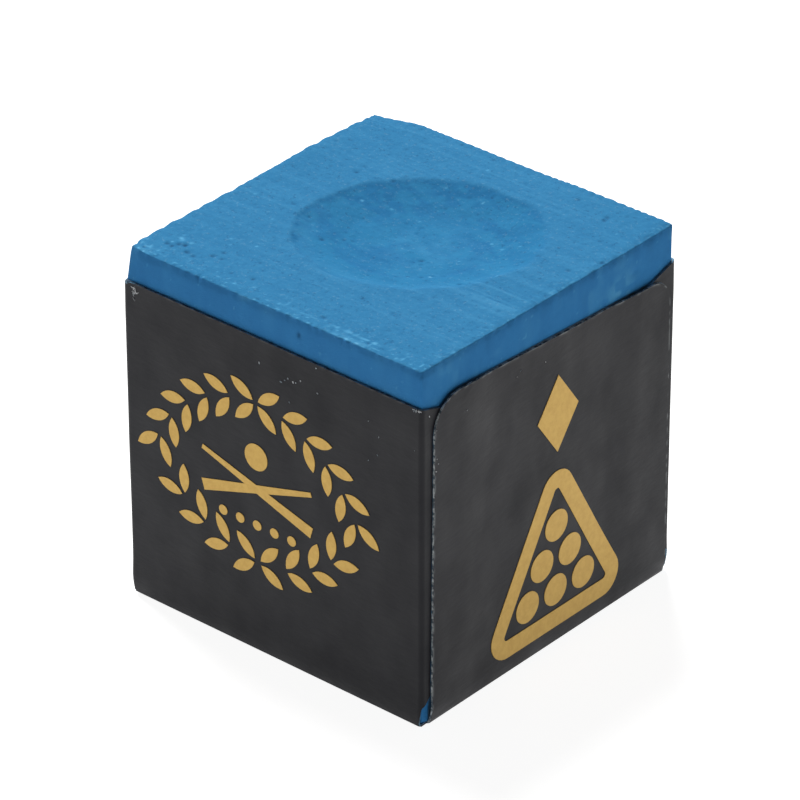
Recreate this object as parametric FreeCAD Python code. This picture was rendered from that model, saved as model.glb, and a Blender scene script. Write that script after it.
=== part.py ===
import FreeCAD, Part
import math
import os

# A cube of billiard cue chalk: a pressed chalk block in a die-cut paper label.
# The label is one cross-shaped sticker.  Its base panel lies under the block,
# its front and back flaps are wide and end in ears that wrap round the upright
# edges, and its right and left flaps are narrower and are laid over the ears.
#
# Frame: millimetres, origin at the bottom centre, +Z up, front face towards -Y.

V = FreeCAD.Vector

# ---------------------------------------------------------------- dimensions

# chalk block
CHALK_WIDTH = 21.9            # square in plan
CHALK_HEIGHT = 22.9
UPRIGHT_EDGE_R = 0.12
BASE_EDGE_R = 0.10
TOP_EDGE_R = 0.08

# hollow worn and pressed into the top for the cue tip
DIMPLE_CENTRE = (0.6, 0.9)
DIMPLE_R = 7.0
DIMPLE_DEPTH = 0.95

# label layers, from the chalk outwards
GLUE = 0.03
PAPER = 0.12
FOIL = 0.03
SKIN = GLUE + PAPER           # one layer of sticker

# Label outline.  Each flap is stuck on by hand, so its top edge slopes a little:
# heights above the base are given at the flap's left and right ends, seen from
# outside.
FRONT_TOP = (20.93, 20.80)
RIGHT_TOP = (21.00, 20.08)
BACK_TOP = (20.80, 20.70)
LEFT_TOP = (20.45, 20.60)
EAR_REACH = 3.0               # how far an ear runs past the upright edge
EAR_CUT_Z = 1.4               # height of the ear's lower cut at the upright edge
EAR_CUT_ANGLE = 45.0          # the lower cut rises away from the edge, in degrees
EAR_TOP_ANGLE = 17.0          # the ear's top falls away from the edge, in degrees
CORNER_NOTCH = 0.45           # width of the bare corner below the ear
NOTCH_TURN = 0.05             # the notch turns the upright edge this far inside
NARROW_LEFT_REACH = (10.40, 10.17)    # from the middle, at the fold and at the top
NARROW_RIGHT_REACH = (10.62, 10.45)
NARROW_LEFT_CORNER_R = 2.2
NARROW_RIGHT_CORNER_R = 1.6

# foil ornament on the wide flaps: crossed cues between two sprays of leaves
SPRAY_CENTRE_U = -1.1
SPRAY_TOP_CENTRE_V = 8.6
SPRAY_LOW_CENTRE_V = 14.2
SPRAY_R = 8.0
SPRAY_TOP_SWEEP = (17.0, 163.0)
SPRAY_LOW_SWEEP = (220.0, 320.0)
SPRAY_TOP_STATIONS = 12
SPRAY_LOW_STATIONS = 8
LEAF_LENGTH = 1.9
LEAF_WIDTH = 0.75
LEAF_TILT = 38.0              # degrees off the spray's run
LEAF_OFFSET = 0.72            # leaf centre off the spray's line
CUE_LENGTH = 8.6
CUE_BUTT_WIDTH = 0.75
CUE_TIP_WIDTH = 0.3
CUE_TILT = 17.0               # degrees from level
CUES_V = 11.0
CUE_BALL_R = 0.85
CUE_BALL_RISE = 2.1
BEAD_COUNT = 5
BEAD_R = 0.32
BEAD_PITCH = 1.3
BEAD_DROP = 2.4

# foil ornament on the narrow flaps: a ball rack below a table diamond
RACK_CENTRE_U = 0.6
RACK_BASE_V = 1.2
RACK_WIDTH = 13.4
RACK_HEIGHT = 11.9
RACK_BAND = 1.15
RACK_CORNER_R = 1.4
RACK_BALL_R = 1.0
RACK_BALL_PITCH = 2.5
RACK_BALL_GAP = 0.35          # between the rack and its balls
RACK_ROWS = 3
DIAMOND_WIDTH = 3.6
DIAMOND_HEIGHT = 5.0
DIAMOND_BASE_V = 12.9

# ------------------------------------------------------------ derived places

HALF = CHALK_WIDTH / 2
CHALK_BASE_Z = SKIN
CHALK_TOP_Z = SKIN + CHALK_HEIGHT
FOLD_LINE = HALF - BASE_EDGE_R          # where the base panel meets a flap's fold
LABEL_PLANE = HALF + SKIN               # outside of one layer of sticker
EAR_INNER = HALF - EAR_REACH
NOTCH_START = HALF - CORNER_NOTCH
NOTCH_TURN_X = HALF - NOTCH_TURN
FAR = HALF + 2.0                        # clear of the object on any side
BELOW = -1.0
ABOVE = CHALK_TOP_Z + 1.0
SIDE_TURN = {"front": 0.0, "right": 90.0, "back": 180.0, "left": 270.0}

# ------------------------------------------------------------------- helpers


def prism(corners, direction):
    """Extrude the closed polygon through corners along direction."""
    outline = Part.makePolygon(corners + corners[:1])
    return Part.Face(outline).extrude(direction)


def prism_along_x(yz_points, x_start, x_end):
    corners = [V(x_start, y, z) for y, z in yz_points]
    return prism(corners, V(x_end - x_start, 0, 0))


def prism_along_y(xz_points, y_start, y_end):
    corners = [V(x, y_start, z) for x, z in xz_points]
    return prism(corners, V(0, y_end - y_start, 0))


def box_between(low, high):
    size = high - low
    return Part.makeBox(size.x, size.y, size.z, low)


def turned(shape, degrees):
    """The shape turned about the upright axis through the origin."""
    copy = shape.copy()
    copy.rotate(V(0, 0, 0), V(0, 0, 1), degrees)
    return copy


def is_upright(edge):
    box = edge.BoundBox
    return box.ZLength > 1.0 and box.XLength < 0.001 and box.YLength < 0.001


def grown_block(grow, top=ABOVE):
    """The block's outside pushed out by grow on every side but the top."""
    half = HALF + grow
    low = CHALK_BASE_Z - grow
    block = box_between(V(-half, -half, low), V(half, half, top))
    uprights = [edge for edge in block.Edges if is_upright(edge)]
    block = block.makeFillet(UPRIGHT_EDGE_R + grow, uprights)
    rim = [edge for edge in block.Edges if edge.BoundBox.ZMax < low + 0.001]
    return block.makeFillet(BASE_EDGE_R + grow, rim)


# --------------------------------------------------------------- chalk block


def dimple_cutter():
    """Cap of a large ball, as wide and as deep as the hollow."""
    radius = (DIMPLE_R**2 + DIMPLE_DEPTH**2) / (2 * DIMPLE_DEPTH)
    rise = radius - DIMPLE_DEPTH
    centre = V(DIMPLE_CENTRE[0], DIMPLE_CENTRE[1], CHALK_TOP_Z + rise)
    return Part.makeSphere(radius, centre)


def chalk_block():
    block = grown_block(0.0, top=CHALK_TOP_Z)
    rim = [edge for edge in block.Edges if edge.BoundBox.ZMin > CHALK_TOP_Z - 0.001]
    block = block.makeFillet(TOP_EDGE_R, rim)
    return block.cut(dimple_cutter())


# ------------------------------------------------------------- label outline


def ear_cut_height(y, grow=0.0):
    """Height of the ear's slanted lower cut at depth y, on the front side."""
    angle = math.radians(EAR_CUT_ANGLE)
    return EAR_CUT_Z + (y + HALF) * math.tan(angle) - grow / math.cos(angle)


def ear_top_height(y, end_height, grow=0.0):
    """Height of the ear's top edge, which falls from end_height at the edge."""
    angle = math.radians(EAR_TOP_ANGLE)
    return end_height - (y + HALF) * math.tan(angle) + grow / math.cos(angle)


def ear_outline(end_height, grow):
    """Front ear seen from the side as (y, z), grown outwards by grow."""
    inner = EAR_INNER - grow
    return [
        (-FAR, ear_cut_height(-FAR, grow)),
        (-inner, ear_cut_height(-inner, grow)),
        (-inner, ear_top_height(-inner, end_height, grow)),
        (-HALF, ear_top_height(-HALF, end_height, grow)),
        (-FAR, ear_top_height(-HALF, end_height, grow)),
    ]


def ear_zone(ear_tops, grow):
    """Both ears' outlines on the +X side as one solid, front and back."""
    front_top, back_top = ear_tops
    front = ear_outline(front_top, grow)
    back = [(-y, z) for y, z in ear_outline(back_top, grow)]
    return prism_along_x(front, 0, FAR).fuse(prism_along_x(back, 0, FAR))


def corner_notch(side):
    """Cut that bares one front bottom corner, with side -1 or +1 along X."""
    across_front = prism_along_y(
        [
            (side * NOTCH_START, BELOW),
            (side * NOTCH_START, 0),
            (side * NOTCH_TURN_X, EAR_CUT_Z),
            (side * FAR, EAR_CUT_Z),
            (side * FAR, BELOW),
        ],
        -FAR,
        0,
    )
    along_side = prism_along_x(
        [
            (-FAR, BELOW),
            (-FAR, ear_cut_height(-FAR)),
            (0, ear_cut_height(0)),
            (0, BELOW),
        ],
        side * NOTCH_TURN_X,
        side * FAR,
    )
    return across_front.fuse(along_side)


def half_wide_flap_zone(side, end_height):
    """Side view of the wide flap, its fold and one ear, with side -1 or +1."""
    return prism_along_x(
        [
            (-FAR, BELOW),
            (-FOLD_LINE, BELOW),
            (-FOLD_LINE, ear_cut_height(-FOLD_LINE)),
            (-EAR_INNER, ear_cut_height(-EAR_INNER)),
            (-EAR_INNER, ear_top_height(-EAR_INNER, end_height)),
            (-HALF, ear_top_height(-HALF, end_height)),
            (-HALF, ABOVE),
            (-FAR, ABOVE),
        ],
        0,
        side * FAR,
    )


def wide_flap_zone(top_heights):
    """Region holding the front flap with its fold and both of its ears."""
    left_top, right_top = top_heights
    left_half = half_wide_flap_zone(-1, left_top)
    right_half = half_wide_flap_zone(1, right_top)
    front_view = prism_along_y(
        [(-FAR, BELOW), (FAR, BELOW), (FAR, right_top), (-FAR, left_top)],
        -FAR,
        0,
    )
    zone = left_half.fuse(right_half).common(front_view)
    return zone.cut(corner_notch(-1)).cut(corner_notch(1))


def narrow_flap_zone(top_heights):
    """Region holding the right flap with its fold: a round-cornered trapezoid."""
    left_low, left_high = NARROW_LEFT_REACH
    right_low, right_high = NARROW_RIGHT_REACH
    left_top, right_top = top_heights
    zone = prism_along_x(
        [
            (-left_low, BELOW),
            (right_low, BELOW),
            (right_low, 0),
            (right_high, right_top),
            (-left_high, left_top),
            (-left_low, 0),
        ],
        FOLD_LINE,
        FAR,
    )
    for corner_y, radius in (
        (-left_high, NARROW_LEFT_CORNER_R),
        (right_high, NARROW_RIGHT_CORNER_R),
    ):
        corner = [
            edge
            for edge in zone.Edges
            if edge.BoundBox.XLength > 1.0
            and edge.BoundBox.ZMin > HALF
            and abs(edge.CenterOfMass.y - corner_y) < 0.01
        ]
        zone = zone.makeFillet(radius, corner)
    return zone


# -------------------------------------------------------------- label pieces


def sticker_layers():
    """The glue and the paper of one layer of sticker, all round the block."""
    block = grown_block(0.0)
    glued = grown_block(GLUE)
    papered = grown_block(SKIN)
    return glued.cut(block), papered.cut(glued)


def overlap_layers(ear_tops):
    """The glue and the paper that step over the ears on the +X side."""
    block = grown_block(0.0)
    ear = grown_block(SKIN).common(ear_zone(ear_tops, 0.0))
    raised_glue = grown_block(SKIN + GLUE).common(ear_zone(ear_tops, GLUE))
    raised_paper = grown_block(2 * SKIN).common(ear_zone(ear_tops, SKIN))
    glue_outside = grown_block(GLUE).fuse(raised_glue)
    paper_outside = grown_block(SKIN).fuse(raised_paper)
    glue = glue_outside.cut(block).cut(ear)
    paper = paper_outside.cut(glue_outside)
    return glue, paper


def base_panel_zone():
    low = V(-FOLD_LINE, -FOLD_LINE, BELOW)
    high = V(FOLD_LINE, FOLD_LINE, CHALK_BASE_Z)
    return box_between(low, high)


def label_pieces():
    """Every paper panel and its glue, by node name."""
    glue, paper = sticker_layers()
    pieces = {
        "label_base_panel": paper.common(base_panel_zone()),
        "adhesive_base": glue.common(base_panel_zone()),
    }
    for side, top_heights in (("front", FRONT_TOP), ("back", BACK_TOP)):
        zone = wide_flap_zone(top_heights)
        turn = SIDE_TURN[side]
        pieces["label_" + side + "_flap"] = turned(paper.common(zone), turn)
        pieces["adhesive_" + side] = turned(glue.common(zone), turn)
    for side, top_heights, ear_tops in (
        ("right", RIGHT_TOP, (FRONT_TOP[1], BACK_TOP[0])),
        ("left", LEFT_TOP, (BACK_TOP[1], FRONT_TOP[0])),
    ):
        over_glue, over_paper = overlap_layers(ear_tops)
        zone = narrow_flap_zone(top_heights)
        turn = SIDE_TURN[side] - SIDE_TURN["right"]
        pieces["label_" + side + "_flap"] = turned(over_paper.common(zone), turn)
        pieces["adhesive_" + side] = turned(over_glue.common(zone), turn)
    return pieces


# ------------------------------------------------------------ foil ornaments
# Drawn on the front face: u runs to the right, v is the height, and every
# shape is FOIL thick and stands on the outside of the label.


def on_label(u, v):
    return V(u, -LABEL_PLANE, v)


def raised(outline_edges):
    face = Part.Face(Part.Wire(outline_edges))
    return face.extrude(V(0, -FOIL, 0))


def foil_polygon(points):
    corners = [on_label(u, v) for u, v in points]
    return prism(corners, V(0, -FOIL, 0))


def foil_disc(u, v, radius):
    circle = Part.Circle(on_label(u, v), V(0, -1, 0), radius)
    return raised([circle.toShape()])


def foil_leaf(u, v, direction):
    """Pointed leaf centred on (u, v), lying along direction in degrees."""
    along = V(math.cos(direction), 0, math.sin(direction)) * (LEAF_LENGTH / 2)
    across = V(-math.sin(direction), 0, math.cos(direction)) * (LEAF_WIDTH / 2)
    middle = on_label(u, v)
    near_side = Part.Arc(middle - along, middle - across, middle + along).toShape()
    far_side = Part.Arc(middle + along, middle + across, middle - along).toShape()
    return raised([near_side, far_side])


def foil_spray(centre_v, sweep, stations):
    """Leaves in pairs along an arc, opening away from the arc's middle."""
    leaves = []
    first, last = sweep
    for index in range(stations):
        angle = math.radians(first + (last - first) * index / (stations - 1))
        middle_angle = math.radians((first + last) / 2)
        run = angle + math.pi / 2 if angle > middle_angle else angle - math.pi / 2
        for side in (-1, 1):
            radius = SPRAY_R + side * LEAF_OFFSET
            u = SPRAY_CENTRE_U + radius * math.cos(angle)
            v = centre_v + radius * math.sin(angle)
            turn = side * math.radians(LEAF_TILT)
            opening = -turn if angle > middle_angle else turn
            leaves.append(foil_leaf(u, v, run + opening))
    return leaves


def foil_cue(tilt):
    """One tapered cue through the middle of the ornament."""
    along = (math.cos(math.radians(tilt)), math.sin(math.radians(tilt)))
    across = (-along[1], along[0])
    corners = []
    for end, side, width in (
        (-1, -1, CUE_BUTT_WIDTH),
        (1, -1, CUE_TIP_WIDTH),
        (1, 1, CUE_TIP_WIDTH),
        (-1, 1, CUE_BUTT_WIDTH),
    ):
        u = SPRAY_CENTRE_U + end * along[0] * CUE_LENGTH / 2 + side * across[0] * width / 2
        v = CUES_V + end * along[1] * CUE_LENGTH / 2 + side * across[1] * width / 2
        corners.append((u, v))
    return foil_polygon(corners)


def cues_and_leaves():
    """Ornament of the wide flaps."""
    crossed = foil_cue(CUE_TILT).fuse(foil_cue(180.0 - CUE_TILT)).removeSplitter()
    shapes = [crossed]
    shapes.append(foil_disc(SPRAY_CENTRE_U, CUES_V + CUE_BALL_RISE, CUE_BALL_R))
    for index in range(BEAD_COUNT):
        u = SPRAY_CENTRE_U + (index - (BEAD_COUNT - 1) / 2) * BEAD_PITCH
        shapes.append(foil_disc(u, CUES_V - BEAD_DROP, BEAD_R))
    shapes += foil_spray(SPRAY_TOP_CENTRE_V, SPRAY_TOP_SWEEP, SPRAY_TOP_STATIONS)
    shapes += foil_spray(SPRAY_LOW_CENTRE_V, SPRAY_LOW_SWEEP, SPRAY_LOW_STATIONS)
    return Part.makeCompound(shapes)


def rounded_triangle(inset, corner_r):
    """Solid triangle of the rack's outline moved in by inset."""
    half = RACK_WIDTH / 2
    lean = math.atan2(RACK_HEIGHT, half)
    inner_half = half - inset / math.tan(lean / 2)
    inner_height = inner_half * math.tan(lean)
    base = RACK_BASE_V + inset
    triangle = foil_polygon(
        [
            (RACK_CENTRE_U - inner_half, base),
            (RACK_CENTRE_U + inner_half, base),
            (RACK_CENTRE_U, base + inner_height),
        ]
    )
    uprights = [
        edge
        for edge in triangle.Edges
        if edge.BoundBox.XLength < 0.001 and edge.BoundBox.ZLength < 0.001
    ]
    return triangle.makeFillet(corner_r, uprights)


def rack_and_diamond():
    """Ornament of the narrow flaps."""
    outer = rounded_triangle(0.0, RACK_CORNER_R)
    inner = rounded_triangle(RACK_BAND, RACK_CORNER_R - RACK_BAND)
    shapes = [outer.cut(inner)]
    first_row_v = RACK_BASE_V + RACK_BAND + RACK_BALL_GAP + RACK_BALL_R
    for row in range(RACK_ROWS):
        count = RACK_ROWS - row
        v = first_row_v + row * RACK_BALL_PITCH * math.sin(math.radians(60))
        for index in range(count):
            u = RACK_CENTRE_U + (index - (count - 1) / 2) * RACK_BALL_PITCH
            shapes.append(foil_disc(u, v, RACK_BALL_R))
    middle_v = DIAMOND_BASE_V + DIAMOND_HEIGHT / 2
    shapes.append(
        foil_polygon(
            [
                (RACK_CENTRE_U - DIAMOND_WIDTH / 2, middle_v),
                (RACK_CENTRE_U, DIAMOND_BASE_V),
                (RACK_CENTRE_U + DIAMOND_WIDTH / 2, middle_v),
                (RACK_CENTRE_U, DIAMOND_BASE_V + DIAMOND_HEIGHT),
            ]
        )
    )
    return Part.makeCompound(shapes)


def foil_pieces():
    """The four gold ornaments, by node name."""
    wide = cues_and_leaves()
    narrow = rack_and_diamond()
    drawings = {"front": wide, "back": wide, "right": narrow, "left": narrow}
    return {
        "gold_print_" + side: turned(drawing, SIDE_TURN[side])
        for side, drawing in drawings.items()
    }


# ------------------------------------------------------------------- export


def all_pieces():
    pieces = {"chalk_block": chalk_block()}
    pieces.update(label_pieces())
    pieces.update(foil_pieces())
    return pieces


def main():
    os.makedirs("parts", exist_ok=True)
    for node, shape in all_pieces().items():
        box = shape.BoundBox
        solids = len(shape.Solids)
        print(f"{node}: {solids} solids, valid {shape.isValid()}, {shape.Volume:.3f} mm3,",
              f"z {box.ZMin:.3f} to {box.ZMax:.3f}")
        shape.exportStep("parts/" + node + ".step")


main()
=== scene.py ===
import math

import bmesh
import bpy
import numpy as np
from mathutils import Matrix, Vector


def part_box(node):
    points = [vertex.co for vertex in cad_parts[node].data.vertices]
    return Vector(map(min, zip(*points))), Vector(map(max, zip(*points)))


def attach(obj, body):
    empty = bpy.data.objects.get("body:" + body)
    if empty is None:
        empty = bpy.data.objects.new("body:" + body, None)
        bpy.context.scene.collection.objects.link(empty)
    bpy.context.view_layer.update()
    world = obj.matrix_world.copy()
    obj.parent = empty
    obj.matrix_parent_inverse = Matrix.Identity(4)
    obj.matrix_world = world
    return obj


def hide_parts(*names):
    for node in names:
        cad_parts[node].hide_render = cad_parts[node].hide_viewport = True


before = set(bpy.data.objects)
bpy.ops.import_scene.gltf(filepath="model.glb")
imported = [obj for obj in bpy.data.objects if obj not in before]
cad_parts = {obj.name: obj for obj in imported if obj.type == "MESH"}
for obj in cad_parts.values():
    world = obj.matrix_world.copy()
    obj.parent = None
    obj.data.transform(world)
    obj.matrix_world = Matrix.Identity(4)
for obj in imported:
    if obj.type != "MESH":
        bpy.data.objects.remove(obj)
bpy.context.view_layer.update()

# Looks of the cue chalk cube.  Lengths are millimetres until a mesh is made.
# Every side is built in the front face's own frame, where s runs to the right
# along the label and z is the height, and is then turned to its side.

MM = 0.001


def box_mm(node):
    """A CAD node's lowest and highest corners, in millimetres."""
    return [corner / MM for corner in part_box(node)]


# ---- sizes from the frame

chalk_low, chalk_high = box_mm("chalk_block")
_, panel_high = box_mm("label_base_panel")
glue_low, glue_high = box_mm("adhesive_base")
foil_low, _ = box_mm("gold_print_front")

HALF = chalk_high.x                  # half the chalk's width
CHALK_TOP = chalk_high.z
CHALK_BASE = chalk_low.z
FOLD_LINE = panel_high.x             # edge of the base panel
GLUE = glue_high.z - glue_low.z
SKIN = CHALK_BASE                    # glue and paper together
FOIL = -foil_low.y - HALF - SKIN     # foil's thickness

# ---- driving sizes

UPRIGHT_EDGE_R = 0.12
BASE_EDGE_R = HALF - FOLD_LINE
TOP_EDGE_R = 0.08
FLAT_REACH = HALF - UPRIGHT_EDGE_R   # where a face turns into its upright edge
FOLD_Z = CHALK_BASE + BASE_EDGE_R    # where a flap's fold ends
PAPER_MIDDLE = (GLUE + SKIN) / 2
TURN_LENGTH = math.pi / 2 * (UPRIGHT_EDGE_R + PAPER_MIDDLE)
FOLD_LENGTH = math.pi / 2 * (BASE_EDGE_R + PAPER_MIDDLE)

DIMPLE_CENTRE = (0.6, 0.9)           # hollow left by the cue tip
DIMPLE_R = 7.0
DIMPLE_STRETCH = (1.05, 0.92)        # along its long axis and across it
DIMPLE_TURN = math.radians(41)       # long axis from +X
BOWL_DEPTH = 0.90
BOWL_WALL = 2.3                      # how far in the wall of the bowl eases out
BOWL_RIM_SOFTNESS = 0.07
CUP_DEPTH = 0.05
CUP_R = 4.4                          # faint ring round the middle of the bowl

FRONT_TOP = (20.93, 20.80)           # flap tops at their left and right ends
RIGHT_TOP = (21.00, 20.08)
BACK_TOP = (20.80, 20.70)
LEFT_TOP = (20.45, 20.60)
EAR_REACH = 3.0
EAR_CUT_Z = 1.4                      # height where an ear's lower cut starts
EAR_CUT_SLOPE = math.tan(math.radians(45))
EAR_TOP_SLOPE = math.tan(math.radians(17))
EAR_STEP_REACH = 3.4                 # how gently a narrow flap rises over an ear
CORNER_NICK_DROP = 0.22              # worn top left corner of the front flap
NARROW_LEFT_REACH = (10.40, 10.17)   # narrow flap at its fold and at its top
NARROW_RIGHT_REACH = (10.62, 10.45)
NARROW_LEFT_CORNER_R = 2.2
NARROW_RIGHT_CORNER_R = 1.6
TOP_SAG = 0.08                       # dip in the middle of a narrow flap's top
LABEL_ROWS = 151                     # rows lie closer together near a flap's top
ROW_PLACES = 1 - (1 - np.linspace(0, 1, LABEL_ROWS)[:, None]) ** 1.5
NARROW_COLUMNS = 161
NARROW_CROWDING = 0.75               # columns lie closer near a narrow flap's ends
NARROW_HIGH_Z = 20.5                 # height that NARROW_..._REACH gives as its top
WIDE_MIDDLE_REACH = 9.9
WIDE_MIDDLE_PITCH = 0.15
WIDE_EDGE_COLUMNS = 26
EAR_COLUMNS = 14
WORN_BAND = 0.09                     # rubbed strip along a flap's cut edge
WIDE_EDGE_WEAR = 0.25
NARROW_EDGE_WEAR = 0.9

SIDE_TURN = {"front": 0.0, "right": 90.0, "back": 180.0, "left": 270.0}
SIDE_SEED = {"front": 11, "right": 23, "back": 37, "left": 53}

# ---- smooth noise


def lattice(cell_u, cell_v, seed):
    """Repeatable value from 0 to 1 for each whole-number cell."""
    mixed = (cell_u * 374761393 + cell_v * 668265263 + seed * 974634777) & 0xFFFFFFFF
    mixed = ((mixed ^ (mixed >> 13)) * 1274126177) & 0xFFFFFFFF
    return ((mixed ^ (mixed >> 16)) & 0xFFFFFF) / 0xFFFFFF


def noise(u, v, seed):
    """Smooth noise from -1 to 1, with cells one unit across."""
    u, v = np.broadcast_arrays(np.asarray(u, float), np.asarray(v, float))
    cell_u = np.floor(u).astype(np.int64)
    cell_v = np.floor(v).astype(np.int64)
    part_u = u - cell_u
    part_v = v - cell_v
    blend_u = part_u * part_u * (3 - 2 * part_u)
    blend_v = part_v * part_v * (3 - 2 * part_v)
    low, high = [
        lattice(cell_u, row, seed) * (1 - blend_u) + lattice(cell_u + 1, row, seed) * blend_u
        for row in (cell_v, cell_v + 1)
    ]
    return 2 * (low * (1 - blend_v) + high * blend_v) - 1


def smooth_step(low, high, value):
    part = np.clip((value - low) / (high - low), 0, 1)
    return part * part * (3 - 2 * part)


def bump_at(distance, reach):
    """1 at no distance, falling smoothly to nothing past reach."""
    return np.exp(-((distance / reach) ** 2))


def away_from(place, x, y):
    return np.hypot(x - place[0], y - place[1])


def blot(place, across, z, reach):
    """1 at a place on a side, falling smoothly to nothing past reach, across and up."""
    return bump_at(across - place[0], reach[0]) * bump_at(z - place[1], reach[1])


# ---- mesh makers

SHARP_ANGLE = math.radians(48)       # steeper creases stay sharp


def new_piece(name, points_mm, faces, materials, face_slots=None, values=None):
    """A mesh object in metres, with the named values stored at its points."""
    mesh = bpy.data.meshes.new(name)
    mesh.from_pydata((np.asarray(points_mm) * MM).tolist(), [], faces)
    for material in materials:
        mesh.materials.append(material)
    if face_slots is not None:
        mesh.polygons.foreach_set("material_index", face_slots)
    mesh.polygons.foreach_set("use_smooth", [True] * len(mesh.polygons))
    for value_name, value in (values or {}).items():
        mesh.attributes.new(value_name, "FLOAT", "POINT").data.foreach_set("value", value)
    mesh.validate()
    mesh.update()
    mesh.set_sharp_from_angle(angle=SHARP_ANGLE)
    piece = bpy.data.objects.new(name, mesh)
    bpy.context.scene.collection.objects.link(piece)
    return piece


def grid_faces(rows, columns, first=0):
    """Quads of a grid stored row by row, starting at vertex first."""
    index = first + np.arange(rows * columns).reshape(rows, columns)
    quads = np.stack(
        [index[:-1, :-1], index[:-1, 1:], index[1:, 1:], index[1:, :-1]], axis=-1
    )
    return quads.reshape(-1, 4)


def rim_loop(rows, columns):
    """Vertex numbers round a grid's rim, in order."""
    index = np.arange(rows * columns).reshape(rows, columns)
    return np.concatenate(
        [index[0, :-1], index[:-1, -1], index[-1, :0:-1], index[:0:-1, 0]]
    )


def strip_faces(loop_a, loop_b):
    """Quads between two closed loops of the same length."""
    next_a = np.roll(loop_a, -1)
    next_b = np.roll(loop_b, -1)
    return np.stack([loop_a, next_a, next_b, loop_b], axis=-1)


def points_and_faces(shape):
    """A bmesh's points, and the vertex numbers of its faces, as arrays."""
    points = np.array([vert.co[:] for vert in shape.verts])
    faces = np.array([[vert.index for vert in face.verts] for face in shape.faces])
    return points, faces


def turned(points, degrees):
    """Points turned about the upright axis."""
    angle = math.radians(degrees)
    x = points[..., 0] * math.cos(angle) - points[..., 1] * math.sin(angle)
    y = points[..., 0] * math.sin(angle) + points[..., 1] * math.cos(angle)
    return np.stack([x, y, points[..., 2]], axis=-1)


# ---- label's own surface


def length_up(z):
    """Length along the label from the base panel's edge up to height z."""
    return FOLD_LENGTH + z - FOLD_Z


def height_at(length):
    """Height of a place on a flap, above its fold."""
    return length - FOLD_LENGTH + FOLD_Z


def on_side(s, length, offset):
    """Point offset outwards from the chalk, s along and length up the label."""
    turn = np.clip(length / FOLD_LENGTH, 0, 1) * math.pi / 2
    radius = BASE_EDGE_R + offset
    z = np.where(length > FOLD_LENGTH, height_at(length), FOLD_Z - radius * np.cos(turn))
    out = radius * np.sin(turn) - BASE_EDGE_R
    hand = np.sign(s)
    along = np.abs(s) - FLAT_REACH
    corner = np.clip(along / TURN_LENGTH, 0, 1) * math.pi / 2
    past = np.maximum(along - TURN_LENGTH, 0)
    corner_r = UPRIGHT_EDGE_R + out
    x = np.where(along < 0, s, hand * (FLAT_REACH + corner_r * np.sin(corner)))
    y = -(FLAT_REACH + corner_r * np.cos(corner)) + past
    return np.stack([x, y, z], axis=-1)


def ear_step(s, z, ear_tops):
    """How far the narrow flap is lifted by the ears below it."""
    left_top, right_top = ear_tops
    from_edge = HALF - np.abs(s)
    ear_top = np.where(s < 0, left_top, right_top) - from_edge * EAR_TOP_SLOPE
    ear_low = EAR_CUT_Z + from_edge * EAR_CUT_SLOPE
    inside = np.minimum(EAR_REACH - from_edge, ear_top - z)
    inside = np.minimum(inside, (z - ear_low) * math.cos(math.atan(EAR_CUT_SLOPE)))
    return SKIN * smooth_step(-EAR_STEP_REACH, -0.02, inside) * smooth_step(0.0, 1.2, z)


def ripple(s, z, seed):
    """Slight unevenness of the pasted paper, which lies tight at its fold and top."""
    broad = 0.012 * (1 + noise(s / 4.1, z / 5.3, seed))
    fine = 0.004 * (1 + noise(s / 1.1, z / 1.6, seed + 1))
    spring = 0.04 * bump_at(z - 1.1, 0.9)
    held = smooth_step(0.0, 0.8, z) * smooth_step(20.9, 18.4, z)
    return (broad + fine + spring) * held


def label_lift(side, s, z):
    """Height of the outer paper's outside over the chalk, in the side's frame."""
    lift = SKIN + ripple(s, z, SIDE_SEED[side])
    if side == "right":
        return lift + ear_step(s, z, (FRONT_TOP[1], BACK_TOP[0]))
    if side == "left":
        return lift + ear_step(s, z, (BACK_TOP[1], FRONT_TOP[0]))
    return lift


def paper_shell(side, s, length, edge_wear_share, materials):
    """Closed sheet of paper over a grid of label positions, rubbed pale along its edges."""
    rows, columns = s.shape
    z = height_at(length)
    outside = label_lift(side, s, z)
    inside = outside - (SKIN - GLUE)
    outer = on_side(s, length, outside).reshape(-1, 3)
    inner = on_side(s, length, inside).reshape(-1, 3)
    count = rows * columns
    front_faces = grid_faces(rows, columns)
    back_faces = grid_faces(rows, columns, count)[:, ::-1]
    loop = rim_loop(rows, columns)
    edge_faces = strip_faces(loop, loop + count)[:, ::-1]
    faces = np.concatenate([front_faces, back_faces, edge_faces])
    slots = np.zeros(len(faces), int)
    slots[len(front_faces):] = 1
    points = turned(np.concatenate([outer, inner]), SIDE_TURN[side])
    from_top = length[-1] - length
    from_end = np.minimum(s - s[:, :1], s[:, -1:] - s)
    rubbed = smooth_step(-0.2, 0.6, noise(s / 0.3, z / 0.3, SIDE_SEED[side] + 8))
    worn_edge = bump_at(np.minimum(from_top, from_end), WORN_BAND) * rubbed * edge_wear_share
    worn_edge = np.concatenate([worn_edge.ravel(), np.zeros(count)])
    values = {"worn": worn_edge}
    return new_piece("label_" + side, points, faces.tolist(), materials, slots, values)


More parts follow.
